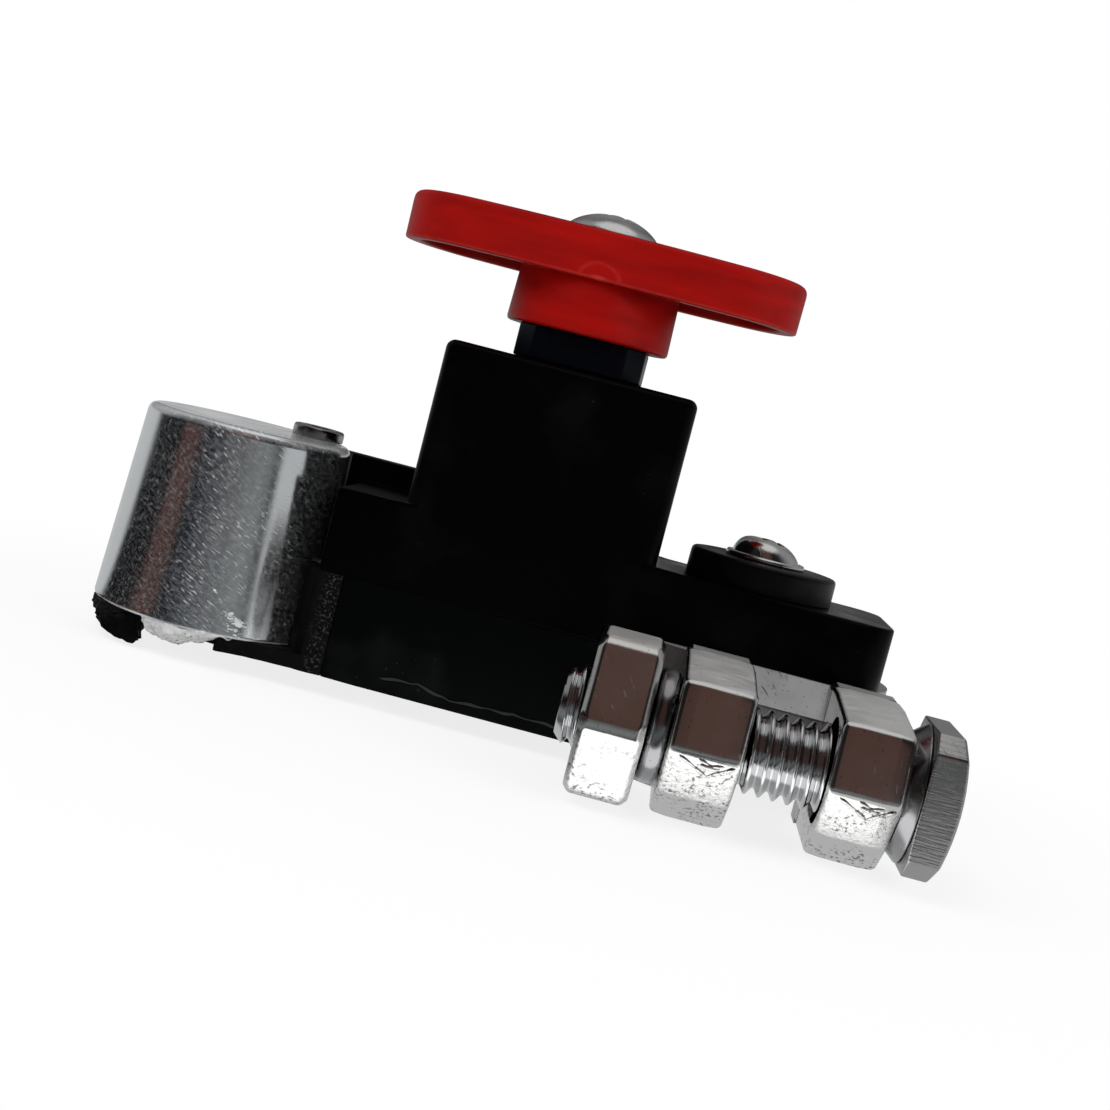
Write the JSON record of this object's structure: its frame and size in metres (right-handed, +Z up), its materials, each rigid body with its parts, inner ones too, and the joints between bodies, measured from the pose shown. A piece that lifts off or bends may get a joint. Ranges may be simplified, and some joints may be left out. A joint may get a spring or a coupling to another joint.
{
  "type": "battery disconnect switch",
  "caption": "Top-post battery disconnect switch: red turning knob on a black housing, with a tapered battery post at one end and a bolted battery clamp under the other.",
  "frame": {"origin": "where the axis of the clamp bore meets the plane on which the switch rests, the clamp's lower face", "axes": "+Z up, out of the battery; +X from the tapered post towards the clamp, along the body; +Y away from the pinch bolt"},
  "size_m": [0.0653, 0.0364, 0.0403],
  "materials": {
    "housing_black": "moulded, low sheen",
    "lower_black": "moulded, duller and scuffed",
    "resin_black": "rough set resin",
    "plated_post": "bright plating, scratched",
    "plated_clamp": "bright plating on a rough casting",
    "plated_steel": "bright zinc plating",
    "contact_silver": "silvered pad",
    "contact_copper": "bare copper alloy",
    "spring_steel": "hardened steel",
    "rotor_black": "moulded",
    "seal_rubber": "soft",
    "knob_red": "moulded, semi gloss",
    "cap_black": "moulded"
  },
  "bodies": {
    "body": {"housing": "housing_black", "base_cover": "lower_black", "base_potting": "resin_black", "base_screws": "plated_steel", "terminal_post": "plated_post", "post_stud": "plated_steel", "clamp_terminal": "plated_clamp", "post_contact": "contact_silver", "clamp_contact": "contact_silver", "shaft_seal": "seal_rubber", "detent_ball": "spring_steel", "detent_spring": "spring_steel", "terminal_cap": "cap_black", "cap_screw": "plated_steel", "lock_washer": "plated_steel", "clamp_nut": "plated_steel", "bolt_collar": "plated_steel", "clamp_bolt": "plated_steel"},
    "rotor": {"knob": "knob_red", "knob_screw": "plated_steel", "rotor_shaft": "rotor_black", "contact_bridge": "contact_copper", "contact_spring": "spring_steel"}
  },
  "joints": [
    {"name": "knob_turn", "type": "hinge", "parent": "body", "child": "rotor", "pos_m": [-0.0182, -0.0015, 0.0281], "axis": [0, 0, 1], "range_deg": [0, 90]}
  ]
}
